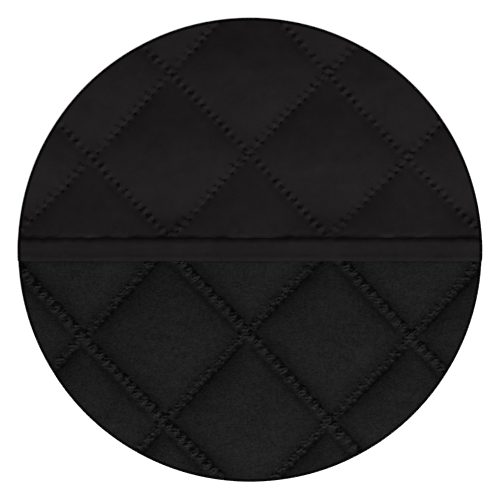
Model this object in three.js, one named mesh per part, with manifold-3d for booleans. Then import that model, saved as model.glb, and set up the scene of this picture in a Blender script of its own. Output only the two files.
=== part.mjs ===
// A round cut piece of a quilted recliner cover, lying flat.
// The cover is folded so that its bound edge crosses the middle of the piece:
// the face of the cloth shows above that edge, and its brushed reverse shows below it.
// X runs along the binding, Y across it, and Z is up. The origin is under the middle of the piece.
import * as THREE from "three";
import { mergeVertices } from "three/addons/utils/BufferGeometryUtils.js";
import Module from "manifold-3d";

const wasm = await Module();
wasm.setup();

// Driving dimensions, in millimetres
const PIECE_DIAMETER = 280;
const CROWN_THICKNESS = 4.5; // of the quilted cloth in the middle of a diamond
const LYING_GAP = 0.3; // between pieces that lie on each other
const BINDING_SEAM_Y = 6.5; // where the binding is sewn to the face
const BINDING_FREE_Y = -6.6; // the binding's folded free edge
const BINDING_LEG = 0.6; // one side of the binding, two layers of thin cloth
const BINDING_ROLL = 3.3; // how far the binding takes to dive into its seam
const BINDING_LIP = 0.15; // what is left of its side at the seam
const PRESSED_THICKNESS = 1.6; // of the quilted cloth where the binding holds it
const FACE_ROLL = 5.0; // how far the face takes to dive into that seam
const EDGE_OVERLAP = 1.0; // how far the pressed edge runs on into the quilted cloth

// Each quilting: a diamond's width and height, the place of one crossing, the rows of cells that
// are made, counted from that crossing along the two families of lines, the cloth's thickness along
// a line, and how full a diamond is, where 2 is a round dome and more has steeper sides.
const FACE_QUILTING = {
  across: 95,
  along: 99,
  crossing: [0, 56.5],
  rising: [-2, 2],
  falling: [-2, 2],
  seamThickness: 1.2,
  flankPower: 2,
};
const REVERSE_QUILTING = {
  across: 99,
  along: 105,
  crossing: [-1.5, -51.3],
  rising: [-2, 3],
  falling: [-3, 2],
  seamThickness: 1.7,
  flankPower: 2.2,
};
const CELL_STEPS = 8; // steps along each side of a diamond
const STEP_CROWDING = 0.6; // how far the steps crowd towards the quilting lines, from 0 to 1
const LINE_BOW = 1.5; // how far the rows of crossings wander from straight

const RIM_STEPS = 96;
const FOLD_STEPS = 8;
const CUT_MARGIN = 10; // how far a blank reaches past what it is cut to
const MERGE_DISTANCE = 1e-4;

const PIECE_RADIUS = PIECE_DIAMETER / 2;
const UPPER_BASE_Z = CROWN_THICKNESS + LYING_GAP;
const BINDING_HEIGHT = 2 * (BINDING_LEG + LYING_GAP) + PRESSED_THICKNESS;
const BINDING_MIDDLE_Z = UPPER_BASE_Z + BINDING_HEIGHT / 2;
const PIECE_HEIGHT = UPPER_BASE_Z + CROWN_THICKNESS;

const CLOTH_BLACK = { roughness: 0.95, metalness: 0 };
const COLOURS = { face: 0x201e1f, reverse: 0x1e1e1e, binding: 0x1f1d1e };

// A closed geometry as a solid that can be cut and joined
function toSolid(geometry) {
  const bare = new THREE.BufferGeometry();
  bare.setAttribute("position", geometry.getAttribute("position"));
  bare.setIndex(geometry.getIndex());
  const merged = mergeVertices(bare, MERGE_DISTANCE);
  const vertProperties = merged.getAttribute("position").array;
  const triVerts = new Uint32Array(merged.getIndex().array);
  return new wasm.Manifold(new wasm.Mesh({ numProp: 3, vertProperties, triVerts }));
}

// A cut solid as a geometry for a mesh
function toGeometry(solid) {
  const { vertProperties, triVerts } = solid.getMesh();
  const geometry = new THREE.BufferGeometry();
  geometry.setAttribute("position", new THREE.BufferAttribute(vertProperties, 3));
  geometry.setIndex(new THREE.BufferAttribute(triVerts, 1));
  geometry.computeVertexNormals();
  return geometry;
}

// A section drawn in Y and Z, drawn out along X past both sides of the piece
function alongX(section) {
  const length = PIECE_DIAMETER + 2 * CUT_MARGIN;
  const prism = new THREE.ExtrudeGeometry(section, { depth: length, bevelEnabled: false, curveSegments: FOLD_STEPS });
  prism.translate(0, 0, -length / 2);
  const axes = new THREE.Matrix4().makeBasis(
    new THREE.Vector3(0, 1, 0),
    new THREE.Vector3(0, 0, 1),
    new THREE.Vector3(1, 0, 0),
  );
  prism.applyMatrix4(axes);
  return toSolid(prism);
}

// The round cut, as a cylinder taller than the piece
function roundCut() {
  const height = PIECE_HEIGHT + 2 * CUT_MARGIN;
  const cylinder = new THREE.CylinderGeometry(PIECE_RADIUS, PIECE_RADIUS, height, RIM_STEPS);
  cylinder.rotateX(Math.PI / 2);
  cylinder.translate(0, 0, PIECE_HEIGHT / 2);
  return toSolid(cylinder);
}

// Steps along a diamond's side, closer together towards the quilting lines
function crowded(step) {
  const cell = Math.floor(step);
  const share = step - cell;
  return cell + share - (STEP_CROWDING * Math.sin(2 * Math.PI * share)) / (2 * Math.PI);
}

// How full the padding is between two quilting lines: 0 on a line and 1 halfway between two
function fullness(place, flankPower) {
  const share = place - Math.floor(place);
  return 1 - Math.abs(2 * share - 1) ** flankPower;
}

// Quilted cloth with its flat side at baseZ, as a box whose top follows the diamonds
function quiltedCloth(quilting, baseZ) {
  const { across, along, crossing, rising, falling, seamThickness, flankPower } = quilting;
  const cells = [rising[1] - rising[0], falling[1] - falling[0]];
  const box = new THREE.BoxGeometry(...cells, 1, cells[0] * CELL_STEPS, cells[1] * CELL_STEPS, 1);
  const points = box.getAttribute("position");
  for (let i = 0; i < points.count; i += 1) {
    const p = rising[0] + crowded(points.getX(i) + cells[0] / 2);
    const q = falling[0] + crowded(points.getY(i) + cells[1] / 2);
    const x = crossing[0] + (across * (p + q)) / 2;
    const bow = LINE_BOW * Math.cos((Math.PI * (x - crossing[0])) / across);
    const y = crossing[1] + (along * (p - q)) / 2 + bow;
    const full = fullness(p, flankPower) * fullness(q, flankPower);
    const thickness = seamThickness + (CROWN_THICKNESS - seamThickness) * full;
    const onTop = points.getZ(i) > 0;
    // The falling family runs against Y, so the box is mirrored and its top and bottom change places.
    points.setXYZ(i, x, y, onTop ? baseZ : baseZ + thickness);
  }
  return toSolid(box);
}

// The layer underneath: a full round of the cloth, its reverse up
function reverseCloth() {
  return quiltedCloth(REVERSE_QUILTING, 0).intersect(roundCut());
}

// What the face keeps above the binding's seam: its edge rolls down into the seam
function faceLimit() {
  const seamY = BINDING_SEAM_Y + LYING_GAP;
  const pressedTop = BINDING_MIDDLE_Z + PRESSED_THICKNESS / 2;
  const farY = PIECE_RADIUS + CUT_MARGIN;
  const section = new THREE.Shape();
  section.moveTo(seamY, UPPER_BASE_Z);
  section.lineTo(seamY, pressedTop);
  section.absellipse(seamY + FACE_ROLL, pressedTop, FACE_ROLL, PIECE_HEIGHT - pressedTop, Math.PI, Math.PI / 2, true);
  section.lineTo(farY, PIECE_HEIGHT);
  section.lineTo(farY, UPPER_BASE_Z);
  section.closePath();
  return alongX(section);
}

// The pressed edge of the face cloth that the binding holds
function pressedEdge() {
  const innerY = BINDING_FREE_Y + BINDING_HEIGHT / 2 + LYING_GAP;
  const outerY = BINDING_SEAM_Y + LYING_GAP + EDGE_OVERLAP;
  const strip = new THREE.BoxGeometry(PIECE_DIAMETER + CUT_MARGIN, outerY - innerY, PRESSED_THICKNESS);
  strip.translate(0, (outerY + innerY) / 2, BINDING_MIDDLE_Z);
  return toSolid(strip);
}

// The layer on top: a half round of the cloth, its face up
function faceCloth() {
  const quilted = quiltedCloth(FACE_QUILTING, UPPER_BASE_Z).intersect(faceLimit());
  return quilted.add(pressedEdge()).intersect(roundCut());
}

// The binding: one strip folded round the pressed edge, its free edge a round fold
function binding() {
  const outer = BINDING_HEIGHT / 2;
  const inner = outer - BINDING_LEG;
  const foldY = BINDING_FREE_Y + outer;
  const slotY = foldY + LYING_GAP;
  const z = BINDING_MIDDLE_Z;
  const section = new THREE.Shape();
  section.moveTo(BINDING_SEAM_Y, z - inner);
  section.lineTo(BINDING_SEAM_Y, z - outer);
  section.lineTo(foldY, z - outer);
  section.absarc(foldY, z, outer, -Math.PI / 2, Math.PI / 2, true);
  section.lineTo(BINDING_SEAM_Y - BINDING_ROLL, z + outer);
  section.absellipse(
    BINDING_SEAM_Y - BINDING_ROLL,
    z + inner + BINDING_LIP,
    BINDING_ROLL,
    BINDING_LEG - BINDING_LIP,
    Math.PI / 2,
    0,
    true,
  );
  section.lineTo(BINDING_SEAM_Y, z + inner);
  section.absarc(slotY, z, inner, Math.PI / 2, -Math.PI / 2, false);
  section.closePath();
  return alongX(section).intersect(roundCut());
}

function named(name, solid, colour) {
  const material = new THREE.MeshStandardMaterial({ color: colour, ...CLOTH_BLACK });
  const mesh = new THREE.Mesh(toGeometry(solid), material);
  mesh.name = name;
  return mesh;
}

const cover = new THREE.Group();
cover.name = "recliner_cover_piece";
cover.add(named("reverse_cloth", reverseCloth(), COLOURS.reverse));
cover.add(named("face_cloth", faceCloth(), COLOURS.face));
cover.add(named("edge_binding", binding(), COLOURS.binding));

export default cover;
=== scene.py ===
# %% [markdown]
# # A quilted recliner cover, seen from straight above
#
# The piece is a round cut from the cover of a recliner, lying flat. Two layers of black quilted cloth
# lie on each other. The upper one shows its smooth face, and its edge is bound with a folded strip
# that crosses the middle. The lower one shows its other side, brushed to a short pile.
#
# Black cloth has almost no colour to show, so its looks come mostly from shape: puffed diamonds, rows
# of small pressed marks between them, and one soft light that grazes them from low in front. Painted
# shade darkens its grooves, creases and the feet of its puffs, and the beads of its brushed side are
# painted lighter, partly as a highlight.

# %% Open the packed frame
import math

import bpy
import numpy as np
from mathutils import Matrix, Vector
from mathutils.geometry import delaunay_2d_cdt


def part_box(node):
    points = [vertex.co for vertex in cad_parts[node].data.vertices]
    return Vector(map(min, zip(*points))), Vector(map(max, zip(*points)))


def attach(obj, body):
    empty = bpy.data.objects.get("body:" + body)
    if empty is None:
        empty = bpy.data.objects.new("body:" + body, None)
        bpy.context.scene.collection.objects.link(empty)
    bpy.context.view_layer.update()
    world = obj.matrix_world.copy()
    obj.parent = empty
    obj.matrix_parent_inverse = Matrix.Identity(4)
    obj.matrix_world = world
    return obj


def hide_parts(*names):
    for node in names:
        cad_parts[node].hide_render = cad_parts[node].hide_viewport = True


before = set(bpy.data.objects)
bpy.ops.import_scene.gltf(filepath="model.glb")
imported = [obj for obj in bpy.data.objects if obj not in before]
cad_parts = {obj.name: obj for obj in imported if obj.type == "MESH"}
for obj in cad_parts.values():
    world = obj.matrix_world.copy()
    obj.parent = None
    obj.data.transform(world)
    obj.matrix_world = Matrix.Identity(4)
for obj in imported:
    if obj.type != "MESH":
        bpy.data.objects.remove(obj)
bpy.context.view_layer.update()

# %% [markdown]
# ## Sizes
#
# The frame gives where each layer lies and how thick it is. Everything below is worked out in
# millimetres, because the marks of the quilting are small, and turned into metres at the very end.

# %% Read the sizes from the frame
MM = 0.001

lower_low, lower_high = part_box("reverse_cloth")
upper_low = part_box("face_cloth")[0]
strip_low, strip_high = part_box("edge_binding")

RADIUS = lower_high.x / MM
CROWN = (lower_high.z - lower_low.z) / MM
LOWER_BASE = lower_low.z / MM
UPPER_BASE = upper_low.z / MM
STRIP_BASE = strip_low.z / MM
STRIP_TOP = strip_high.z / MM
FREE_EDGE_Y = strip_low.y / MM
SEAM_Y = strip_high.y / MM
print(f"radius {RADIUS:.1f}, crown {CROWN:.1f}, upper layer from {UPPER_BASE:.1f}")
print(f"strip {STRIP_BASE:.1f} to {STRIP_TOP:.1f} high, from {FREE_EDGE_Y:.1f} to {SEAM_Y:.1f} across")

# %% [markdown]
# ## Chance and unevenness
#
# Sewn cloth is never even: no two marks sink equally deep, and no seam runs dead straight. A random
# generator would give other cloth at each run, so chance comes from a formula instead. The same row
# and mark always give the same number. Longer waves are sums of sines in several directions. The
# last number of each call, its salt, only keeps one use of chance apart from the next.

# %% Steady chance and soft waves
CHANCE_FACTORS = (12.9898, 78.233, 37.719)
CHANCE_SPREAD = 43758.5453
WAVES = 7
SLOWEST_WAVE = 0.7
WAVE_VARIETY = 0.6


def chance(first, second, salt):
    """A number from 0 to 1 that looks random but is always the same for the same three numbers."""
    by_first, by_second, by_salt = CHANCE_FACTORS
    mixed = np.sin(first * by_first + second * by_second + salt * by_salt) * CHANCE_SPREAD
    return mixed - np.floor(mixed)


def ripple(x, y, length, salt):
    """Soft unevenness between -1 and 1, with waves of about one length in millimetres."""
    total = np.zeros(np.broadcast(x, y).shape)
    for wave in range(WAVES):
        turn = 2 * math.pi * chance(wave, salt, 1)
        start = 2 * math.pi * chance(wave, salt, 2)
        tempo = 2 * math.pi * (SLOWEST_WAVE + WAVE_VARIETY * chance(wave, salt, 3)) / length
        total = total + np.sin(tempo * (x * math.cos(turn) + y * math.sin(turn)) + start)
    return total / WAVES


def uneven(x, y, waves, salt):
    """One kind of unevenness, given as its height and the length of its waves."""
    height, length = waves
    return height * ripple(x, y, length, salt)


print("chance of mark 3 in row 1:", round(float(chance(1, 3, 0)), 3))

# %% [markdown]
# ## The two quiltings
#
# Two families of rows cross in diamonds. A place on the cloth is easiest to describe by counting
# rows: the first count is whole on each row that falls to the right, the second on each row that
# rises. Fullness, puffs and marks are all formulas of these two counts, so they follow the rows
# wherever the rows bow. Each diamond could be modelled as a pillow of its own instead, but then its
# sides would have to be matched to four neighbours. The brushed side was quilted a little larger.

# %% Rows that cross in diamonds
MARKS_PER_SIDE = 13
ROW_BOW = 1.5


class Quilting:
    """The rows of one side of the cloth.

    across and along are a diamond's width and height, and crossing is a place where two rows cross.
    The cloth is seam_thickness thick on a row, and a higher flank_power makes steeper flanks.
    """

    def __init__(self, across, along, crossing, seam_thickness, flank_power):
        self.across = across
        self.along = along
        self.crossing = crossing
        self.seam_thickness = seam_thickness
        self.flank_power = flank_power
        self.spacing = across * along / math.hypot(across, along)
        self.pitch = math.hypot(across, along) / 2 / MARKS_PER_SIDE

    def bow(self, x):
        return ROW_BOW * np.cos(math.pi * (x - self.crossing[0]) / self.across)

    def counts(self, x, y):
        right = (x - self.crossing[0]) / self.across
        up = (y - self.crossing[1] - self.bow(x)) / self.along
        return right + up, right - up

    def place(self, falling, rising):
        x = self.crossing[0] + self.across * (falling + rising) / 2
        y = self.crossing[1] + self.along * (falling - rising) / 2 + self.bow(x)
        return x, y

    def fullness(self, falling, rising):
        """0 on a row of the quilting and 1 in the middle of a diamond."""
        full = 1.0
        for count in (falling, rising):
            share = count - np.floor(count)
            full = full * (1 - np.abs(2 * share - 1) ** self.flank_power)
        return full


FACE_QUILTING = Quilting(
    across=95, along=99, crossing=(0, 56.5), seam_thickness=1.2, flank_power=2
)
REVERSE_QUILTING = Quilting(
    across=99, along=105, crossing=(-1.5, -51.3), seam_thickness=1.7, flank_power=3
)
print(f"marks every {FACE_QUILTING.pitch:.2f} mm on the face, {REVERSE_QUILTING.pitch:.2f} mm on the reverse")

# %% [markdown]
# ## The marks of the face
#
# Along each row the layers are pressed together at small round spots. Each spot is a pit, painted
# darker, partly because its fibres are fused flat and partly as painted shade. Between two pits the
# cloth has nowhere to go and stands up as a short bar. Along one side of the row a band of painted
# shade darkens the foot of the puff. A gaussian bell makes each of these forms, because it blends
# into the cloth without an edge. A bump texture could draw them too, but it wouldn't show along the
# outline or in the exported mesh, so the pits and bars are real shape.
#
# Each function gives two numbers for a place: what the row adds to the height, and how hard the
# cloth is pressed there together with its painted shade, which the finish turns into darkness.

# %% Pits and bars
PIT_RADIUS = 0.85
PIT_DEPTH = 0.55
# Pits are painted darker, partly for their fused fibres and partly as painted shade.
PIT_DARK_AND_SHADE = 0.35
SHALLOWEST_PIT = 0.25
BAR_REACH = 2.1
BAR_HEIGHT = 0.6
BAR_SHARPNESS = 1.6
LOWEST_BAR = 0.5
BAR_VARIETY = 0.9
# A band of painted shade along one side of each row.
ROW_SIDE_SHADE_WIDTH = 1.8
ROW_SIDE_SHADE_DARK = 0.17
MARK_WANDER = 1.1

# For each family of rows: where the bars and the band of painted shade lie beside the row, and how deep the
# pits are.
FALLING_SEAM = {"bar_at": 0.2, "side_shade_at": -4.2, "pit": 0.7}
RISING_SEAM = {"bar_at": -1.2, "side_shade_at": 2.4, "pit": 1.0}


def bell(distance, width):
    return np.exp(-((distance / width) ** 2))


def off_centre(row, mark, salt):
    """How far one mark strays from its place, in millimetres."""
    return MARK_WANDER * (chance(row, mark, salt) - 0.5)


def beside_row(count, other, offset):
    """The nearest row and mark, and the millimetres from both. With offset 0.5, from between marks."""
    row = np.round(count)
    mark = np.round(other * MARKS_PER_SIDE - offset)
    beside = (count - row) * FACE_QUILTING.spacing
    ahead = (other * MARKS_PER_SIDE - offset - mark) * FACE_QUILTING.pitch
    return row, mark, beside, ahead


def face_row(count, other, seam, rough, salt):
    """What one family of rows adds to the face, in millimetres, and how it darkens it: pressing and painted
    shade.
    """
    row, mark, beside, ahead = beside_row(count, other, 0)
    distance = np.hypot(beside + off_centre(row, mark, salt), ahead + off_centre(row, mark, salt + 1))
    strength = seam["pit"] * (SHALLOWEST_PIT + chance(row, mark, salt + 2))
    pit = strength * bell(distance, PIT_RADIUS)

    row, bar, beside, ahead = beside_row(count, other, 0.5)
    swelling = LOWEST_BAR + BAR_VARIETY * chance(row, bar, salt + 3)
    aside = beside - seam["bar_at"] + off_centre(row, bar, salt + 4)
    midway = np.cos(math.pi * ahead / FACE_QUILTING.pitch) ** 2
    added = BAR_HEIGHT * swelling * rough * midway**BAR_SHARPNESS * bell(aside, BAR_REACH)
    # A band of painted shade along one side of the row.
    side_shade = ROW_SIDE_SHADE_DARK * bell(beside - seam["side_shade_at"], ROW_SIDE_SHADE_WIDTH)
    return added - PIT_DEPTH * pit, PIT_DARK_AND_SHADE * pit + side_shade


print(f"pits {2 * PIT_RADIUS:.1f} mm wide, bars about {BAR_HEIGHT:.1f} mm high")

# %% [markdown]
# ## The marks of the brushed side
#
# On this side the rows look like strings of beads: the pile and the padding swell into round, fluffy
# beads, which lie in a zigzag. The beads are painted lighter, partly for their fluffed pile and partly
# as a painted highlight, and the pile between them is painted darker as shade. To their right the cloth
# folds into a narrow crease, painted dark as shade, that runs on without a break, and on the falling
# rows a shallow dip lies to their left. Further out, painted shade darkens the foot of each puff. Hair
# strands could make real fibres, but a pile this short would need millions of them. So the beads are
# shape, and the fibres are left to the finish.
#
# One number tells the finish later how the pile is painted: positive is painted shade, negative is
# fluffed pile with a painted highlight.

# %% Beads, creases and dips
CREASE_WIDTH = 0.9
CREASE_WANDER = (1.1, 9)
CREASE_ROWS_APART = 50
SCALLOP = 0.2
DIP_WIDTH = 1.6
SMALLEST_BEAD = 0.6
BEAD_VARIETY = 0.6

# For each family of rows: how many beads a mark has, where they lie beside the row, their size and
# fluff, with its painted highlight, how far they zigzag, how wide a strand they make and how much
# painted shade lies along it, then the crease with its painted shade and the dip, and how dark and
# how wide the painted shade at the foot of the puff is on either side.
FALLING_LINE = {
    "beads": 1, "bead_at": 0.3, "wide": 2.3, "long": 2.3, "high": 1.2, "fluff_and_highlight": 1.3,
    "zigzag": 0.4, "strand": 2.5, "between": 0.25,
    "crease_at": 3.2, "crease_shade": 0.45, "crease_depth": 0.45,
    "dip_at": -3.9, "dip_depth": 0.3,
    "right_shade": 0.85, "right_reach": 8.5,
    "left_at": -3.7, "left_shade": 0.5, "left_reach": 3.7,
}
RISING_LINE = {
    "beads": 2, "bead_at": -0.9, "wide": 1.9, "long": 1.4, "high": 0.85, "fluff_and_highlight": 1.4,
    "zigzag": 0.8, "strand": 2.6, "between": 0.85,
    "crease_at": 2.1, "crease_shade": 0.3, "crease_depth": 0.22,
    "dip_at": -4.4, "dip_depth": 0.0,
    "right_shade": 0.38, "right_reach": 9.0,
    "left_at": -3.4, "left_shade": 0.4, "left_reach": 7.0,
}


def row_shade(beside, line):
    """Painted shade at the foot of the puffs on both sides of a row."""
    on_right = 0.5 + 0.5 * np.tanh(beside)
    shade = line["right_shade"] * on_right * bell(beside, line["right_reach"])
    return shade + line["left_shade"] * bell(beside - line["left_at"], line["left_reach"])


def reverse_row(count, other, line, rough, salt):
    """What one family of rows adds to the brushed side, and its painted shade and lightening."""
    row = np.round(count)
    beside = (count - row) * REVERSE_QUILTING.spacing
    bead_pitch = REVERSE_QUILTING.pitch / line["beads"]
    along_row = other * MARKS_PER_SIDE * line["beads"] - 0.5
    bead = np.round(along_row)
    ahead = (along_row - bead) * bead_pitch

    swelling = SMALLEST_BEAD + BEAD_VARIETY * chance(row, bead, salt + 1)
    aside = beside - line["bead_at"]
    left_or_right = 1 - 2 * (bead % 2)
    zigzag = line["zigzag"] * left_or_right + off_centre(row, bead, salt + 2)
    onward = ahead + off_centre(row, bead, salt + 3) / line["beads"]
    beaded = swelling * rough * bell(np.hypot((aside + zigzag) / line["wide"], onward / line["long"]), 1)

    wander = uneven(other * REVERSE_QUILTING.spacing, count * CREASE_ROWS_APART, CREASE_WANDER, salt)
    scallop = SCALLOP * np.cos(2 * math.pi * ahead / bead_pitch)
    crease = bell(beside - line["crease_at"] - wander - scallop, CREASE_WIDTH)
    dip = bell(beside - line["dip_at"] - wander + scallop, DIP_WIDTH)
    added = line["high"] * beaded - line["crease_depth"] * crease - line["dip_depth"] * dip

    strand = bell(aside, line["strand"])
    # Painted shade in the crease, at the foot of the puffs and along the strand; the beads' fluff takes some
    # back, partly as a painted highlight.
    shade_and_fluff = line["crease_shade"] * crease + (1 - strand) * row_shade(beside, line)
    return added, shade_and_fluff + line["between"] * strand - line["fluff_and_highlight"] * beaded


print(f"beads every {REVERSE_QUILTING.pitch / FALLING_LINE['beads']:.1f} mm on falling rows,"
      f" {REVERSE_QUILTING.pitch / RISING_LINE['beads']:.1f} mm on rising ones")

# %% [markdown]
# ## The seam of the binding
#
# The strip is sewn to the face a little above the middle and then folded round the cloth's edge. The
# thread pulls both into a narrow groove, which wavers by up to a millimetre. The strip stands higher
# than the face, so that it shades the groove, and painted shade, stronger in some stretches, darkens
# it more. Near its fold it bulges in a low ridge, over the edge of the cloth inside. A Boolean could
# cut a groove into two finished pieces, but one formula for the seam's place lets the strip, the face
# and the dark line waver together.

# %% Where the seam runs and how the strip rises from it
SEAM_OFFSET = 0.4
SEAM_DRIFT = (0.6, 34)
SEAM_WOBBLE = (0.5, 9)
GROOVE_FLOOR = STRIP_BASE + 2.7
GROOVE_WAVES = (0.25, 12)
# Where the groove's painted shade lies, how wide and dark it is, and how it varies along the seam.
GROOVE_AT = 1.1
GROOVE_WIDTH = 1.0
GROOVE_SHADE_DARK = 0.7
GROOVE_SHADE_WAVES = (0.8, 15)
STRIP_RISE = 3.2
STRIP_LEG = 0.55
STRIP_LIP = 0.15
STRIP_SWELLS = (0.12, 21)
SWELL_SQUEEZE = 0.4
STRIP_CREASES = (0.05, 4)
STRIP_CREASE_SQUEEZE = 0.25
STRIP_GATHERS = (0.1, 4.6)
RIDGE_Y = FREE_EDGE_Y + 1.8
RIDGE_INNER_WIDTH = 2.0
RIDGE_OUTER_WIDTH = 1.3
RIDGE_HEIGHT = 0.22
RIDGE_WAVES = (0.5, 7)
HIGHEST_RIDGE = 1.3


def soft_step(share):
    """Turns 0 to 1 into a smooth rise from 0 to 1."""
    held = np.clip(share, 0, 1)
    return held * held * (3 - 2 * held)


def seam_at(x):
    """The seam's place across the cloth, for each place along it."""
    return SEAM_Y + SEAM_OFFSET + uneven(x, 0, SEAM_DRIFT, 4) + uneven(x, 0, SEAM_WOBBLE, 5)


def strip_top(x, y):
    """Height of the strip's upper side, from the seam to where the fold begins."""
    share = np.clip((seam_at(x) - y) / STRIP_RISE, 0, 1)
    floor = GROOVE_FLOOR + uneven(x, 0, GROOVE_WAVES, 48)
    height = STRIP_TOP - (STRIP_TOP - floor) * (1 - share) ** 2
    swells = uneven(x, y * SWELL_SQUEEZE, STRIP_SWELLS, 6)
    creases = uneven(STRIP_CREASE_SQUEEZE * x, y, STRIP_CREASES, 8)
    height = height + (swells + creases) * share
    height = height + uneven(x, 0, STRIP_GATHERS, 7) * (1 - share) * share
    ridge_width = np.where(y > RIDGE_Y, RIDGE_INNER_WIDTH, RIDGE_OUTER_WIDTH)
    ridge = (1 + uneven(x, 0, RIDGE_WAVES, 47)) * bell(y - RIDGE_Y, ridge_width)
    return height + RIDGE_HEIGHT * (ridge - HIGHEST_RIDGE)


def strip_inside(x, y):
    """Height of the inner side of the strip's upper leg, which thins out to a lip at the seam."""
    past_lip = soft_step((seam_at(x) - y) / STRIP_RISE)
    return strip_top(x, y) - STRIP_LIP - (STRIP_LEG - STRIP_LIP) * past_lip


def groove_shade(x, past_seam):
    """How much painted shade a place gets in the seam's groove, more in some stretches than in others."""
    return (GROOVE_SHADE_DARK + uneven(x, 0, GROOVE_SHADE_WAVES, 9)) * bell(past_seam - GROOVE_AT, GROOVE_WIDTH)


print(f"groove floor at {GROOVE_FLOOR:.2f} mm, strip top at {STRIP_TOP:.2f} mm")

# %% [markdown]
# ## Thickness of the quilted cloth
#
# A diamond is a cushion: thin along the rows, where it is sewn, and full in its middle. Real padding
# is never spread evenly, so some diamonds are fuller than others, and their flanks have soft waves.
# A cloth simulation could blow the diamonds up, but it would also pull the rows out of line. Here
# each row, mark and hollow has a place that it has to keep, so the height comes from a formula.

# %% Puffs between the rows
DIAMOND_VARIETY = 0.25
FLANK_WAVES = (0.3, 26)
FLANK_RIPPLES = (0.12, 11)
CROWN_CLEARANCE = 0.15


def puffs(quilting, x, y, salt):
    """Thickness of the quilted cloth without its marks."""
    falling, rising = quilting.counts(x, y)
    full = quilting.fullness(falling, rising)
    variety = DIAMOND_VARIETY * (chance(np.floor(falling), np.floor(rising), salt) - 0.5)
    waves = uneven(x, y, FLANK_WAVES, salt) + uneven(x, y, FLANK_RIPPLES, salt + 1)
    loft = CROWN - quilting.seam_thickness + variety + waves - CROWN_CLEARANCE
    return quilting.seam_thickness + loft * full


def further_from_zero(first, second):
    """Where two rows cross, the stronger of their two marks."""
    return np.where(np.abs(first) > np.abs(second), first, second)


middle_x, middle_y = FACE_QUILTING.place(0.5, 0.5)
print(f"one diamond of the face is {float(puffs(FACE_QUILTING, middle_x, middle_y, 21)):.2f} mm thick")

# %% [markdown]
# ## Height of each layer
#
# Both layers are height fields: for each place on the cloth one height for its upper side and one for
# its underside. Near the seam the face is held down, and a wide band of painted shade darkens it
# there. It then dives into the groove and goes on inside the strip as a thin pressed edge.

# %% Height of the face layer
BAR_CRUMPLE = (0.8, 2.6)
FACE_ROLL = 2.6
HELD_DOWN = 0.66
HELD_REACH = 60
EDGE_LIFT = 2.2
LIFT_REACH = 16
LIFT_BLEND = 4
FACE_GATHERS = (0.3, 8)
GATHERS_AT = 3
GATHERS_WIDTH = 2.5
TUCK_CLEARANCE = 0.07
TUCK_ROLL = 0.6
# A wide band of painted shade on the face above the seam.
SEAM_SIDE_SHADE_DARK = 0.08
SEAM_SIDE_SHADE_AT = 14
SEAM_SIDE_SHADE_REACH = 12


def face_marks(x, y):
    """What both families of rows add to the face, and how hard they press it."""
    falling, rising = FACE_QUILTING.counts(x, y)
    rough = 1 + uneven(x, y, BAR_CRUMPLE, 25)
    added_falling, press_and_shade_falling = face_row(falling, rising, FALLING_SEAM, rough, 11)
    added_rising, press_and_shade_rising = face_row(rising, falling, RISING_SEAM, rough, 17)
    return further_from_zero(added_falling, added_rising), np.maximum(press_and_shade_falling, press_and_shade_rising)


def face_puffs(x, y, past_seam):
    """Height of the face without its marks, held down near the seam but lifted by what lies below it."""
    held = HELD_DOWN + (1 - HELD_DOWN) * soft_step(past_seam / HELD_REACH)
    height = puffs(FACE_QUILTING, x, y, 21) * held
    lift = EDGE_LIFT * bell(past_seam, LIFT_REACH)
    return UPPER_BASE + (height**LIFT_BLEND + lift**LIFT_BLEND) ** (1 / LIFT_BLEND)


def face_top(x, y):
    """Height of the face, and its darkening from pressing and painted shade, for each place."""
    past = y - seam_at(x)
    added, press_and_shade = face_marks(x, y)
    height = face_puffs(x, y, past) + added
    height = height + uneven(x, 0, FACE_GATHERS, 23) * bell(past - GATHERS_AT, GATHERS_WIDTH)

    rolled = np.minimum(strip_inside(x, seam_at(x)) - TUCK_CLEARANCE, height)
    rolled = rolled + (height - rolled) * soft_step(past / FACE_ROLL)
    tucked = strip_inside(x, np.minimum(y, seam_at(x))) - TUCK_CLEARANCE
    inside = np.clip(-past / TUCK_ROLL, 0, 1)
    height = np.where(past > 0, rolled, rolled + (tucked - rolled) * inside)

    # Painted shade in a wide band above the seam.
    seam_side_shade = SEAM_SIDE_SHADE_DARK * bell(past - SEAM_SIDE_SHADE_AT, SEAM_SIDE_SHADE_REACH)
    return height, np.maximum(press_and_shade, groove_shade(x, past)) + seam_side_shade


print(f"the face is {float(face_top(middle_x, middle_y)[0]):.2f} mm high there")

# %% The face layer's underside
UNDER_GROOVE = 0.5
UNDER_GROOVE_POWER = 4
UNDER_TUCK_ROLL = 0.8


def face_underside(x, y):
    """Height of the face layer's underside."""
    full = FACE_QUILTING.fullness(*FACE_QUILTING.counts(x, y))
    lifted = STRIP_BASE + 2 * TUCK_CLEARANCE + STRIP_LEG - UPPER_BASE
    inside = np.clip((seam_at(x) + UNDER_TUCK_ROLL - y) / UNDER_TUCK_ROLL, 0, 1)
    return UPPER_BASE + np.maximum(UNDER_GROOVE * (1 - full) ** UNDER_GROOVE_POWER, lifted * inside)


print(f"its underside is {float(face_underside(middle_x, middle_y)):.2f} mm high there")

# %% [markdown]
# ## Height of the brushed layer
#
# The brushed side is the same kind of height field, with beads instead of pits. The curls of its pile
# roughen the beads, and where two rows cross, the beads make a loose, fluffy knot, painted lighter
# partly for its pile and partly as a painted highlight. Along the strip's free edge a painted shadow
# darkens the pile.

# %% Beads and puffs together
PILE_CURLS = (0.9, 2.1)
FINE_CURLS = (0.9, 1.5)
# Width and darkness of the painted shadow along the strip's free edge.
EDGE_SHADOW_WIDTH = 1.0
EDGE_SHADOW_DARK = 0.5
THINNEST = 0.45
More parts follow.
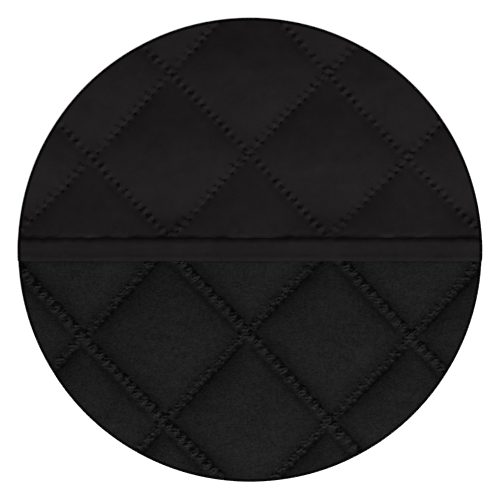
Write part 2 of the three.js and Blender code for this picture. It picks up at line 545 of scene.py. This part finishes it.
# Knots where rows cross are painted lighter, partly for their fluffed pile and partly as a painted highlight.
KNOT_FLUFF_AND_HIGHLIGHT = 0.7
KNOT_REACH = 5.5
LOWER_GROOVE_SHARE = 0.3


def reverse_top(x, y):
    """Height of the brushed side, and its pile's painted shade and lightening, for each place."""
    falling, rising = REVERSE_QUILTING.counts(x, y)
    rough = 1 + uneven(x, y, PILE_CURLS, 45) + uneven(x, y, FINE_CURLS, 46)
    added_falling, shade_and_fluff_falling = reverse_row(falling, rising, FALLING_LINE, rough, 31)
    added_rising, shade_and_fluff_rising = reverse_row(rising, falling, RISING_LINE, rough, 37)
    added = further_from_zero(added_falling, added_rising)
    shade_and_fluff = further_from_zero(shade_and_fluff_falling, shade_and_fluff_rising)
    off_crossing = np.hypot(falling - np.round(falling), rising - np.round(rising))
    # Knots where rows cross are painted lighter, partly as a painted highlight.
    shade_and_fluff = shade_and_fluff - KNOT_FLUFF_AND_HIGHLIGHT * bell(off_crossing * REVERSE_QUILTING.spacing, KNOT_REACH)
    # A painted shadow along the strip's free edge.
    shadow_under_edge = EDGE_SHADOW_DARK * bell(y - FREE_EDGE_Y, EDGE_SHADOW_WIDTH)
    height = LOWER_BASE + puffs(REVERSE_QUILTING, x, y, 41) + added
    return np.maximum(height, LOWER_BASE + THINNEST), np.maximum(shade_and_fluff, shadow_under_edge)


def reverse_underside(x, y):
    """Height of the lower layer's underside, level where its diamonds rest."""
    full = REVERSE_QUILTING.fullness(*REVERSE_QUILTING.counts(x, y))
    return LOWER_BASE + LOWER_GROOVE_SHARE * UNDER_GROOVE * (1 - full) ** UNDER_GROOVE_POWER


middle_x, middle_y = REVERSE_QUILTING.place(0.5, 0.5)
print(f"one diamond of the brushed side is {float(reverse_top(middle_x, middle_y)[0]):.2f} mm high")

# %% [markdown]
# ## Points where the detail is
#
# A pit is under 2 mm wide and a diamond 95 mm. A grid that is fine enough for the pits everywhere
# would have a million faces. So a fine grid that follows the rows is thinned out with distance: every
# point is kept beside a row, every second one further away, and every fourth in the open. Delaunay
# triangulation then joins whatever points are given.

# %% Grids that thin out away from the rows
STEPS_PER_MARK = 14
COARSE_STEPS_PER_MARK = 3
FINE_REACH = 4.4
MIDDLE_REACH = 8.0
SEAM_REACH = 3.0
HIDDEN_FROM_Y = SEAM_Y - 4


def thinned_grid(quilting, distance_to_detail, steps_per_mark=STEPS_PER_MARK):
    """Places on a grid along the rows, kept whole only near the detail."""
    step = 1 / (MARKS_PER_SIDE * steps_per_mark)
    reach = math.ceil(RADIUS * (1 / quilting.across + 1 / quilting.along) + 2)
    furthest = round(reach / step)
    numbers = np.arange(-furthest, furthest + 1)
    first, second = (axis.ravel() for axis in np.meshgrid(numbers, numbers))
    x, y = quilting.place(first * step, second * step)
    inside = np.hypot(x, y) < RADIUS
    first, second, x, y = first[inside], second[inside], x[inside], y[inside]
    falling, rising = first * step, second * step
    to_falling = np.abs(falling - np.round(falling)) * quilting.spacing
    to_rising = np.abs(rising - np.round(rising)) * quilting.spacing
    near = distance_to_detail(y, np.minimum(to_falling, to_rising))
    every_second = (first % 2 == 0) & (second % 2 == 0)
    every_fourth = (first % 4 == 0) & (second % 4 == 0)
    kept = every_fourth | (every_second & (near < MIDDLE_REACH)) | (near < FINE_REACH)
    return np.column_stack([x[kept], y[kept]])


def to_face_detail(y, to_row):
    """The seam counts as a row too, but a narrower one."""
    return np.minimum(to_row, np.abs(y - SEAM_Y) * FINE_REACH / SEAM_REACH)


def to_reverse_detail(y, to_row):
    """Under the upper layer no detail shows."""
    return np.where(y > HIDDEN_FROM_Y, MIDDLE_REACH, to_row)


print(f"finest step {FACE_QUILTING.pitch / STEPS_PER_MARK:.2f} mm")

# %% [markdown]
# ## The round rim
#
# The round edge is cut hot, which fuses it to a hard, dark, slightly rounded rim. A few rings of
# points just inside the edge hold that rounding. A Bevel modifier could round the edge as well, but
# where a row meets the edge the cloth is too thin for the width that suits a puff. The upper layer is
# less than a whole round: a straight edge closes it, inside the strip.

# %% Points along the rim
RIM_STEP = 0.7
RIM_ROUNDING = 0.8
RIM_INSET = 0.25
RIM_RINGS = (0.15, 0.35, 0.62, 0.9, 1.3)
ROUNDED_SHARE = 0.45
ROUNDING_END = 0.95
WHOLE_ROUND = -math.inf


def round_off(x, y, top, under):
    """Lowers the upper side at the very edge, so that the rim is rounded."""
    room = np.minimum(RIM_ROUNDING, ROUNDED_SHARE * (top - under))
    share = np.clip((np.hypot(x, y) - (RADIUS - RIM_ROUNDING)) / RIM_ROUNDING, 0, 1)
    return top - room * (1 - np.sqrt(1 - ROUNDING_END * share**2))


def rim_points(lowest_y, inset):
    """Points along the round edge, inset from it, counterclockwise from its right end."""
    radius = RADIUS - RIM_INSET - inset
    if lowest_y == WHOLE_ROUND:
        count = round(2 * math.pi * radius / RIM_STEP)
        angles = np.arange(count) * 2 * math.pi / count
    else:
        start = math.asin(lowest_y / radius)
        count = round((math.pi - 2 * start) * radius / RIM_STEP)
        angles = np.linspace(start, math.pi - start, count + 1)
    return radius * np.column_stack([np.cos(angles), np.sin(angles)])


def straight_points(outline, lowest_y):
    """Points along the straight edge that closes a part round, half as close, without its two ends."""
    if lowest_y == WHOLE_ROUND:
        return np.zeros((0, 2))
    half = outline[0][0]
    count = round(half / RIM_STEP)
    x = np.linspace(-half, half, count + 1)[1:-1]
    return np.column_stack([x, np.full(len(x), lowest_y)])


def clear_of_rim(points, lowest_y):
    """The points that lie inside the rim's rings."""
    widest = RADIUS - RIM_INSET - RIM_RINGS[-1] - RIM_STEP / 2
    return points[(np.hypot(*points.T) < widest) & (points[:, 1] > lowest_y + RIM_STEP)]


print(f"{len(rim_points(WHOLE_ROUND, 0))} points round the rim")

# %% [markdown]
# ## A closed sheet from two height fields
#
# The upper side and the underside are triangulated over one outline. A wall joins them, and all three
# share the outline's points, so the sheet is closed like the real one. A Solidify modifier is made
# for sheets of one thickness, and this cloth is thin in its rows and thick between them. The mesh also
# keeps, for each point, how hard the cloth is pressed there together with its painted shade and
# painted highlight, and the material reads it as an attribute.

# %% Triangles, objects and walls
WALL_ROWS = 5
TOUCHING = 1e-6
SLIVER_AREA = 1e-9
CLOSEST_POINTS = 1e-7
FILL_THE_HULL = 0  # Blender's number for triangles over all of the points' convex hull


def triangulate(outline, inner):
    """Triangles over the outline's inside, as numbers into outline and inner put together."""
    points = np.concatenate([outline, inner])
    vectors = [Vector(point) for point in points]
    result = delaunay_2d_cdt(vectors, [], [], FILL_THE_HULL, CLOSEST_POINTS)
    origin = np.array([numbers[0] for numbers in result[3]])
    triangles = origin[np.array(result[2])]
    a, b, c = (points[triangles[:, corner]] for corner in range(3))
    area = np.cross(b - a, c - a)
    triangles = np.where(area[:, None] < 0, triangles[:, ::-1], triangles)
    return points, triangles[np.abs(area) > SLIVER_AREA]


def mesh_object(name, corners, faces, press_and_shade):
    """A smooth-shaded object from millimetres, with a number for each point: its pressing and painted shade.
    """
    mesh = bpy.data.meshes.new(name)
    mesh.from_pydata((np.asarray(corners) * MM).tolist(), [], faces)
    attribute = mesh.attributes.new("press_and_shade", "FLOAT", "POINT")
    attribute.data.foreach_set("value", press_and_shade.astype(np.float32))
    mesh.shade_smooth()
    made = bpy.data.objects.new(name, mesh)
    bpy.context.scene.collection.objects.link(made)
    triangles = sum(len(face) - 2 for face in faces)
    print(f"{name}: {len(corners)} points, {triangles} triangles")
    return made


def wall_points(outline, lowest_y, top_height, under_height):
    """The rows of points between the two outlines, which bulge a little on the round edge."""
    straight = outline[:, 1] <= lowest_y + TOUCHING
    rows = []
    for share in np.arange(1, WALL_ROWS) / WALL_ROWS:
        bulge = RIM_INSET * math.sqrt(math.sin(math.pi * share))
        row = outline * (1 + bulge / np.hypot(*outline.T))[:, None]
        row[straight] = outline[straight]
        height = top_height * (1 - share) + under_height * share
        rows.append(np.column_stack([row, height]))
    return rows


def wall_faces(rows):
    """Quads between each row of point numbers and the next one below."""
    faces = []
    for above, below in zip(rows, rows[1:]):
        quads = np.column_stack([above, below, np.roll(below, -1), np.roll(above, -1)])
        faces += quads.tolist()
    return faces


# %% Build a closed sheet
def closed_sheet(name, lowest_y, fine_points, coarse_points, top_field, under_field):
    """A closed sheet of cloth between two height fields, cut to the round outline."""
    outline = rim_points(lowest_y, 0)
    outline = np.concatenate([outline, straight_points(outline, lowest_y)])
    rings = [rim_points(lowest_y + 2 * inset, inset) for inset in RIM_RINGS]
    inner = np.concatenate([*rings, clear_of_rim(fine_points, lowest_y)])
    top_points, top_faces = triangulate(outline, inner)
    under_points, under_faces = triangulate(outline, clear_of_rim(coarse_points, lowest_y))

    under_height = under_field(*under_points.T)
    top_height, press_and_shade = top_field(*top_points.T)
    top_height = round_off(*top_points.T, top_height, under_field(*top_points.T))

    edge = len(outline)
    walls = wall_points(outline, lowest_y, top_height[:edge], under_height[:edge])
    top = np.column_stack([top_points, top_height])
    under = np.column_stack([under_points, under_height])
    corners = np.concatenate([top, *walls, under])
    rows = [np.arange(edge)]
    rows += [len(top) + row * edge + np.arange(edge) for row in range(WALL_ROWS)]
    under_start = len(top) + len(walls) * edge
    faces = top_faces.tolist() + (under_faces[:, ::-1] + under_start).tolist() + wall_faces(rows)
    unpressed_unshaded = np.zeros(len(corners) - len(top))
    return mesh_object(name, corners, faces, np.concatenate([press_and_shade, unpressed_unshaded]))


# %% [markdown]
# ## The lower layer
#
# It is a full round. Only its lower half shows, so its upper half, under the other layer, gets few
# points and the same formulas.

# %% Make the lower layer
reverse_fine = thinned_grid(REVERSE_QUILTING, to_reverse_detail)
reverse_coarse = thinned_grid(REVERSE_QUILTING, to_reverse_detail, COARSE_STEPS_PER_MARK)
reverse_cloth = closed_sheet(
    "brushed_layer", WHOLE_ROUND, reverse_fine, reverse_coarse, reverse_top, reverse_underside
)

# %% [markdown]
# ## The upper layer
#
# It covers the upper half and goes on a little further, inside the folded strip.

# %% Make the upper layer
TUCKED_EDGE_Y = FREE_EDGE_Y + 2.2

face_fine = thinned_grid(FACE_QUILTING, to_face_detail)
face_coarse = thinned_grid(FACE_QUILTING, to_face_detail, COARSE_STEPS_PER_MARK)
face_cloth = closed_sheet(
    "face_layer", TUCKED_EDGE_Y, face_fine, face_coarse, face_top, face_underside
)

# %% [markdown]
# ## The binding
#
# A binding is one strip, folded lengthwise round the edge. Its section is drawn once, outside and
# inside with as many points each, and moved along the seam. Both ends follow the round cut: each
# point of the section stops where its own line across the round ends. A curve with a bevel profile
# would be quicker, but its ends are square and its seam can't waver apart from its fold.

# %% The strip's section
FOLD_CENTRE_Z = (STRIP_BASE + STRIP_TOP) / 2
FOLD_RADIUS = (STRIP_TOP - STRIP_BASE) / 2
FOLD_Y = FREE_EDGE_Y + FOLD_RADIUS
FOLD_SQUARENESS = 12
LOWER_EDGE_Y = SEAM_Y - 0.2
UPPER_STEPS = 32
FOLD_STEPS = 20
LOWER_STEPS = 8


def flattened(value):
    """Turns a round fold's sine or cosine into that of a fold squeezed almost square."""
    return np.sign(value) * np.abs(value) ** (2 / FOLD_SQUARENESS)


def joined_path(parts_y, parts_z):
    """One path of Y and Z from the parts that follow each other."""
    return np.stack([np.concatenate(parts_y, 1), np.concatenate(parts_z, 1)], -1)


def strip_section(x):
    """The section's outer and inner paths at each x, from the seam round the fold to the underside."""
    at_each_x = x[:, None]
    seam = seam_at(x)[:, None]
    nothing = 0 * seam  # added to one row of numbers, it repeats the row for each x
    along_top = (1 - np.cos(np.linspace(0, math.pi / 2, UPPER_STEPS)))[None, :]
    top_y = seam + (FOLD_Y - seam) * along_top
    under_y = np.linspace(FOLD_Y, LOWER_EDGE_Y, LOWER_STEPS)[None, :] + nothing

    turn = np.linspace(math.pi / 2, 3 * math.pi / 2, FOLD_STEPS + 2)[1:-1][None, :]
    out, up = flattened(np.cos(turn)), flattened(np.sin(turn))
    outer_fold_y = FOLD_Y + FOLD_RADIUS * out + nothing
    lift = (strip_top(at_each_x, outer_fold_y) - STRIP_TOP) * (0.5 + 0.5 * up)
    outer_fold_z = FOLD_CENTRE_Z + FOLD_RADIUS * up + lift
    inner_radius = FOLD_RADIUS - STRIP_LEG
    inner_fold_y = FOLD_Y + inner_radius * out + nothing
    inner_fold_z = FOLD_CENTRE_Z + inner_radius * up + lift

    under_z = 0 * under_y + STRIP_BASE
    outer = joined_path([top_y, outer_fold_y, under_y], [strip_top(at_each_x, top_y), outer_fold_z, under_z])
    inner_top_z = strip_inside(at_each_x, top_y)
    inner = joined_path([top_y, inner_fold_y, under_y], [inner_top_z, inner_fold_z, under_z + STRIP_LEG])
    return outer, inner


print(f"the fold is {2 * FOLD_RADIUS:.1f} mm thick")

# %% Make the binding
STRIP_STEP = 0.6
# A thin line of painted shade along the fold's outer edge.
FOLD_EDGE_SHADE = 0.4
FOLD_EDGE_SHADE_WIDTH = 0.5


def strip_mesh():
    """The folded strip, with its section moved along the seam and both ends closed."""
    shares = np.linspace(-1, 1, round(2 * RADIUS / STRIP_STEP) + 1)
    outer, inner = strip_section(shares * RADIUS)
    section = np.concatenate([outer, inner[:, ::-1]], 1)
    y, z = section[..., 0], section[..., 1]
    x = shares[:, None] * np.sqrt(RADIUS**2 - y**2)
    corners = np.stack([x, y, z], -1).reshape(-1, 3)

    around = section.shape[1]
    numbers = np.arange(len(shares) * around).reshape(len(shares), around)
    here, there = numbers[:-1], numbers[1:]
    sides = np.stack([here, np.roll(here, -1, 1), np.roll(there, -1, 1), there], -1)
    faces = sides.reshape(-1, 4).tolist()
    for end, turned in ((numbers[0], 1), (numbers[-1], -1)):
        for i in range(around // 2 - 1):
            quad = [end[i], end[-1 - i], end[-2 - i], end[i + 1]]
            faces.append([int(number) for number in quad[::turned]])

    x, y = corners[:, 0], corners[:, 1]
    # Painted shade in the seam's groove and along the fold's outer edge.
    press_and_shade = groove_shade(x, y - seam_at(x)) + FOLD_EDGE_SHADE * bell(y - FREE_EDGE_Y, FOLD_EDGE_SHADE_WIDTH)
    return mesh_object("binding_strip", corners, faces, press_and_shade)


binding_strip = strip_mesh()

# %% [markdown]
# ## Shader maths in plain Python
#
# A material is a network of nodes. Written out by hand, even 1 - mask takes four lines. One small
# class wraps a node's output, and Python's own operators then add the Math nodes.

# %% A socket that can be added and multiplied
class Wire:
    """The output of a node in a material."""

    def __init__(self, finish, socket):
        self.finish = finish
        self.socket = socket

    def maths(self, operation, first, second):
        return self.finish.node("ShaderNodeMath", {"operation": operation}, {0: first, 1: second})

    def __add__(self, other):
        return self.maths("ADD", self, other)

    def __radd__(self, other):
        return self.maths("ADD", other, self)

    def __sub__(self, other):
        return self.maths("SUBTRACT", self, other)

    def __rsub__(self, other):
        return self.maths("SUBTRACT", other, self)

    def __mul__(self, other):
        return self.maths("MULTIPLY", self, other)

    def __rmul__(self, other):
        return self.maths("MULTIPLY", other, self)


class Finish:
    """A material, with one method that adds any node."""

    def __init__(self, name):
        self.material = bpy.data.materials.new(name)
        self.material.use_nodes = True
        self.tree = self.material.node_tree
        self.shader = self.tree.nodes["Principled BSDF"]

    def node(self, kind, settings, inputs, output=0):
        made = self.tree.nodes.new(kind)
        for setting, value in settings.items():
            setattr(made, setting, value)
        for socket, value in inputs.items():
            self.plug(made.inputs[socket], value)
        return Wire(self, made.outputs[output])

    def plug(self, socket, value):
        if isinstance(value, Wire):
            self.tree.links.new(value.socket, socket)
        else:
            socket.default_value = value

    def noise(self, place, size, detail, roughness=0.5):
        """Soft noise whose waves are about size millimetres long."""
        inputs = {"Vector": place, "Scale": 1 / (size * MM), "Detail": detail, "Roughness": roughness}
        return self.node("ShaderNodeTexNoise", {}, inputs)

    def at_least_0(self, value):
        return self.node("ShaderNodeMath", {"operation": "MAXIMUM"}, {0: value, 1: 0})

    def risen(self, value, low, high):
        """Turns the range from low to high into a smooth rise from 0 to 1."""
        inputs = {"Value": value, "From Min": low, "From Max": high}
        return self.node("ShaderNodeMapRange", {"interpolation_type": "SMOOTHSTEP"}, inputs)

    def tinted(self, colour, amount):
        """A colour made lighter or darker by a changing amount."""
        settings = {"operation": "SCALE"}
        return self.node("ShaderNodeVectorMath", settings, {0: colour, "Scale": amount})

    def mixed(self, factor, first, second):
        """One colour turning into another."""
        settings = {"data_type": "RGBA"}
        return self.node("ShaderNodeMix", settings, {0: factor, 6: first, 7: second}, output=2)


print("nodes are added by", [name for name in vars(Finish) if not name.startswith("__")])

# %% [markdown]
# ## Black cloth
#
# Black microfibre gives back little more than one hundredth of the light, and a glossy coat would add
# a mirror image of the lamp that is brighter than the cloth. So the gloss is turned nearly off and
# the roughness nearly all the way up. What stays is a faint sheen where the nap is seen from the
# side. Where the cloth is pressed it is darker, because its fibres lie flat, and painted shade darkens
# its grooves, creases and the feet of its puffs the same way. Fluffed beads are painted lighter,
# partly for their pile and partly as a painted highlight. The rim is darkest, because it is fused.

# %% What all three finishes share
CLOTH_ROUGHNESS = 0.95
CLOTH_GLOSS = 0.02
CLOTH_SHEEN = 0.01
SHEEN_ROUGHNESS = 0.5
FUSED_FROM = RADIUS - 2.1
FUSED_BY = RADIUS - 1.8
FUSED_BLACK = (0.0008, 0.0008, 0.0008, 1)
# How much darker pressing and painted shade make the cloth, and how much lighter fluffed pile and painted
# highlights make it.
PRESS_AND_SHADE_DARK = 0.75
FLUFF_AND_HIGHLIGHT = 0.9
FLUFFED_RELIEF = 1.5


def fused_rim(finish, place):
    """0 on the cloth and 1 on its fused rim."""
    flat_place = finish.node("ShaderNodeVectorMath", {"operation": "MULTIPLY"}, {0: place, 1: (1, 1, 0)})
    radius = finish.node("ShaderNodeVectorMath", {"operation": "LENGTH"}, {0: flat_place}, output="Value")
    return finish.risen(radius, FUSED_FROM * MM, FUSED_BY * MM)


def cloth_finish(name, colour, nap, bump_height, bump_distance):
    """A matt black cloth: nap is its uneven lightness, and bump_height its small relief."""
    finish = Finish(name)
    place = finish.node("ShaderNodeTexCoord", {}, {}, output="Object")
    press_and_shade = finish.node("ShaderNodeAttribute", {"attribute_name": "press_and_shade"}, {}, output="Fac")
    # The attribute holds pressing and painted shade, which darken, and fluff with a painted highlight, which
    # lightens.
    flat_and_shaded = PRESS_AND_SHADE_DARK * finish.at_least_0(press_and_shade)
    fluffed_and_lit = FLUFF_AND_HIGHLIGHT * finish.at_least_0(0 - press_and_shade)
    cloth = finish.tinted(colour, nap(finish, place, fluffed_and_lit) * (1 - flat_and_shaded + fluffed_and_lit))
    colour_to_rim = finish.mixed(fused_rim(finish, place), cloth, FUSED_BLACK)
    relief = bump_height(finish, place) * (1 + FLUFFED_RELIEF * fluffed_and_lit)
    bump = finish.node("ShaderNodeBump", {}, {"Height": relief, "Distance": bump_distance * MM})
    sockets = {
        "Base Color": colour_to_rim,
        "Roughness": CLOTH_ROUGHNESS,
        "Normal": bump,
        "Specular IOR Level": CLOTH_GLOSS,
        "Sheen Weight": CLOTH_SHEEN,
        "Sheen Roughness": SHEEN_ROUGHNESS,
    }
    for socket, value in sockets.items():
        finish.plug(finish.shader.inputs[socket], value)
    print(f"{name}: {len(finish.tree.nodes)} nodes")
    return finish.material


# %% [markdown]
# ## Face microfibre
#
# The face is smooth, with faint clouds where hands or the roll have brushed its nap. Three noises of
# different sizes lie over each other: clouds, streaks and grain. A photo of cloth would look real at
# once, but it repeats, and it brings along the light that it was taken in. The binding is cut from
# the same cloth, and looks a touch lighter.

# %% Finish the face and its binding
FACE_BLACK = (0.0160, 0.0142, 0.0151)
BINDING_BLACK = (0.0163, 0.0144, 0.0153)
FACE_CLOUDS = 0.32
FACE_STREAKS = 0.3
FACE_GRAIN = 0.5
FACE_BUMP = 0.05


def face_nap(finish, place, fluffed_and_lit):
    cloudy = finish.noise(place, size=16, detail=1.0) - 0.5
    streaky = finish.noise(place, size=5, detail=2.0) - 0.5
    grain = finish.noise(place, size=1.3, detail=2.0) - 0.5
    return 1 + FACE_CLOUDS * cloudy + FACE_STREAKS * streaky + FACE_GRAIN * grain


def face_bump(finish, place):
    return finish.noise(place, size=0.7, detail=2.0, roughness=0.6)


face_finish = cloth_finish("face microfibre", FACE_BLACK, face_nap, face_bump, FACE_BUMP)
binding_finish = cloth_finish("binding microfibre", BINDING_BLACK, face_nap, face_bump, FACE_BUMP)

# %% [markdown]
# ## Brushed pile
#
# Brushing draws short fibres out of the cloth, which stand in tufts and scatter the light. The tufts
# are a coarse noise and the fibres a finer one, and both are stronger on the fluffed beads.

# %% Finish the brushed side
PILE_BLACK = (0.0139, 0.0139, 0.0139)
PILE_CLOUDS = 0.35
PILE_TUFTS = 1.2
PILE_FIBRES = 1.0
BEAD_GAIN = 3
PILE_BUMP = 0.45


def pile_nap(finish, place, fluffed_and_lit):
    cloudy = finish.noise(place, size=18, detail=1.0) - 0.5
    tufts = finish.noise(place, size=2.4, detail=2.0, roughness=0.7) - 0.5
    fibres = finish.noise(place, size=1.2, detail=2.0, roughness=0.7) - 0.5
    return 1 + PILE_CLOUDS * cloudy + (1 + BEAD_GAIN * fluffed_and_lit) * (PILE_TUFTS * tufts + PILE_FIBRES * fibres)


def pile_bump(finish, place):
    return finish.noise(place, size=1.3, detail=3.0, roughness=0.8)


pile_finish = cloth_finish("brushed pile", PILE_BLACK, pile_nap, pile_bump, PILE_BUMP)

# %% [markdown]
# ## Each piece in place of its solid
#
# Each piece gets its finish, replaces the plain solid of its node, which is hidden, and rides on the one
# body.


def dress(piece, node, material):
    piece.data.materials.append(material)
    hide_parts(node)
    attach(piece, "root")


dress(reverse_cloth, "reverse_cloth", pile_finish)
dress(face_cloth, "face_cloth", face_finish)
dress(binding_strip, "edge_binding", binding_finish)

# %% [markdown]
# ## Floor, light and camera
#
# The floor is plain white. One large soft lamp stands low in front, a little to the right, and grazes
# the diamonds. A small lamp would throw hard shadows, and a lamp straight above would show no puffs at
# all. Even light from all round fills the rest. The camera looks straight down from far away, so that
# the round piece stays round.

# %% Set the floor
FLOOR_REACH = 4.0
FLOOR_COLOUR = (0.9, 0.9, 0.9, 1)


def white_floor():
    mesh = bpy.data.meshes.new("floor")
    half = FLOOR_REACH
    corners = [(-half, -half, 0), (half, -half, 0), (half, half, 0), (-half, half, 0)]
    mesh.from_pydata(corners, [], [(0, 1, 2, 3)])
    floor = bpy.data.objects.new("floor", mesh)
    bpy.context.scene.collection.objects.link(floor)
    finish = Finish("white floor")
    sockets = {
        "Base Color": FLOOR_COLOUR,
        "Roughness": 1.0,
        "Specular IOR Level": 0.0,
        "Emission Color": (1, 1, 1, 1),
        "Emission Strength": 1.0,
    }
    for socket, value in sockets.items():
        finish.plug(finish.shader.inputs[socket], value)
    mesh.materials.append(finish.material)
    print(f"floor {2 * FLOOR_REACH:.0f} m wide")


white_floor()

# %% Light it
LAMP_HEADING = math.radians(-73)
LAMP_RISE = math.radians(21)
LAMP_DISTANCE = 1.6
LAMP_SIZE = 0.7
LAMP_POWER = 46
FILL = 0.24


def grazing_lamp():
    data = bpy.data.lights.new("grazing lamp", "AREA")
    data.shape = "DISK"
    data.size = LAMP_SIZE
    data.energy = LAMP_POWER
    lamp = bpy.data.objects.new("grazing lamp", data)
    level = math.cos(LAMP_RISE)
    direction = Vector((level * math.cos(LAMP_HEADING), level * math.sin(LAMP_HEADING), math.sin(LAMP_RISE)))
    lamp.location = direction * LAMP_DISTANCE
    lamp.rotation_euler = direction.to_track_quat("Z", "Y").to_euler()
    bpy.context.scene.collection.objects.link(lamp)
    print("lamp at", [round(place, 2) for place in lamp.location])


def even_light():
    world = bpy.data.worlds.new("even light")
    world.use_nodes = True
    background = world.node_tree.nodes["Background"]
    background.inputs["Color"].default_value = (1, 1, 1, 1)
    background.inputs["Strength"].default_value = FILL
    bpy.context.scene.world = world


grazing_lamp()
even_light()
bpy.context.scene.view_settings.view_transform = "Standard"
bpy.context.scene.view_settings.look = "None"

# %% Place the camera
CAMERA_HEIGHT = 2.6
PICTURE_SIDE = 500
ROUND_RADIUS_IN_PICTURE = 232.4
SENSOR = 36.0


def camera_above():
    data = bpy.data.cameras.new("camera")
    camera = bpy.data.objects.new("camera", data)
    side = PICTURE_SIDE / ROUND_RADIUS_IN_PICTURE * RADIUS * MM
    distance = CAMERA_HEIGHT - CROWN * MM
    data.sensor_width = SENSOR
    data.lens = SENSOR * distance / side
    camera.location = (0, 0, CAMERA_HEIGHT)
    bpy.context.scene.collection.objects.link(camera)
    bpy.context.scene.camera = camera
    print(f"lens {data.lens:.1f} mm, {side / MM:.1f} mm across the picture")


camera_above()

# %% [markdown]
# The visual model has to stay in the box of the frame's model, apart from a little that cloth may
# stand proud.
